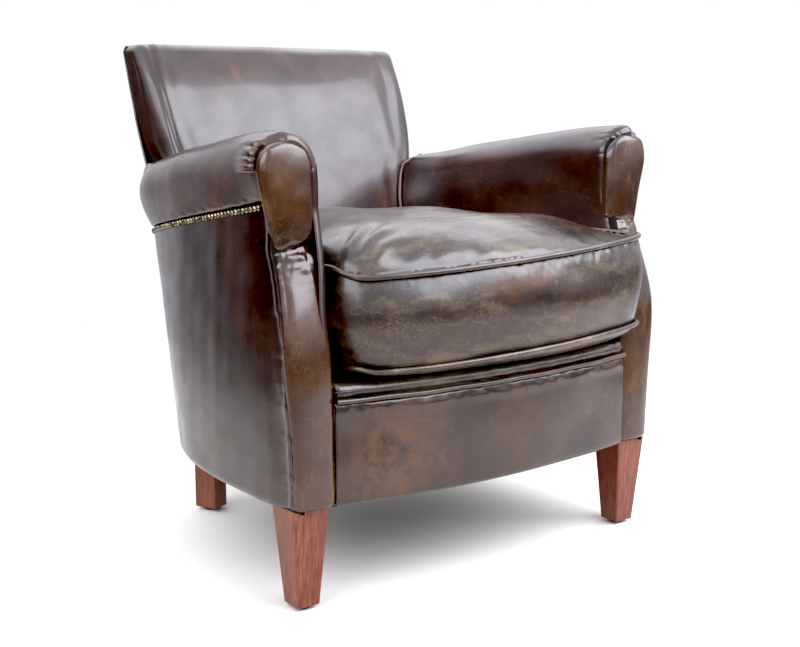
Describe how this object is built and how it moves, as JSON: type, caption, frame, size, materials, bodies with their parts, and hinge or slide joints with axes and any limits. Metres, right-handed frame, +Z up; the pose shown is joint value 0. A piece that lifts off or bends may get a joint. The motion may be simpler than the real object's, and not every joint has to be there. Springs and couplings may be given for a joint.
{
  "type": "worn leather club chair",
  "caption": "Low upholstered club chair in worn dark leather, with rolled arms, a raked barrel back, a loose box cushion and tapered wooden legs.",
  "frame": {"origin": "on the floor, under the middle of the chair's box", "axes": "+Z up, the seat faces -Y, +X to the right as seen from in front"},
  "size_m": [0.682, 0.7155, 0.742],
  "materials": {
    "cover_leather": "worn, glossy",
    "piping_leather": "rubbed pale, satin",
    "leg_wood": "stained red mahogany, satin varnish",
    "frame_wood": "sawn, unfinished",
    "trim_brass": "antiqued, satin",
    "spring_steel": "drawn wire, plain",
    "deck_padding": "dark platform cloth over felt",
    "jute_webbing": "plain woven",
    "dust_cloth": "matte black",
    "glide_plastic": "matte"
  },
  "bodies": {
    "root": {"front_post_left": "frame_wood", "front_post_right": "frame_wood", "arm_rail_left": "frame_wood", "arm_rail_right": "frame_wood", "side_rail_left": "frame_wood", "side_rail_right": "frame_wood", "back_upright_left": "frame_wood", "back_upright_right": "frame_wood", "front_block_left": "frame_wood", "front_block_right": "frame_wood", "rear_block_left": "frame_wood", "rear_block_right": "frame_wood", "front_rail": "frame_wood", "rear_rail": "frame_wood", "back_lower_rail": "frame_wood", "back_top_rail": "frame_wood", "seat_spring_1": "spring_steel", "seat_spring_2": "spring_steel", "seat_spring_3": "spring_steel", "seat_spring_4": "spring_steel", "seat_spring_5": "spring_steel", "seat_deck": "deck_padding", "back_strap_1": "jute_webbing", "back_strap_2": "jute_webbing", "back_strap_3": "jute_webbing", "dust_cover": "dust_cloth", "side_panel_left": "cover_leather", "side_panel_right": "cover_leather", "arm_cover_left": "cover_leather", "arm_cover_right": "cover_leather", "facing_head_left": "cover_leather", "facing_head_right": "cover_leather", "facing_post_left": "cover_leather", "facing_post_right": "cover_leather", "outside_back": "cover_leather", "inside_back": "cover_leather", "front_panel": "cover_leather", "front_lip": "cover_leather", "seat_cushion": "cover_leather", "back_piping_left": "piping_leather", "back_piping_right": "piping_leather", "front_welt": "piping_leather", "cushion_welt_bottom": "piping_leather", "cushion_welt_top": "piping_leather", "nail_strip_left": "trim_brass", "nail_strip_right": "trim_brass", "leg_front_left": "leg_wood", "leg_front_right": "leg_wood", "leg_rear_left": "leg_wood", "leg_rear_right": "leg_wood", "leg_bolt_front_left": "spring_steel", "leg_bolt_front_right": "spring_steel", "leg_bolt_rear_left": "spring_steel", "leg_bolt_rear_right": "spring_steel", "glide_front_left": "glide_plastic", "glide_front_right": "glide_plastic", "glide_rear_left": "glide_plastic", "glide_rear_right": "glide_plastic"}
  },
  "joints": []
}
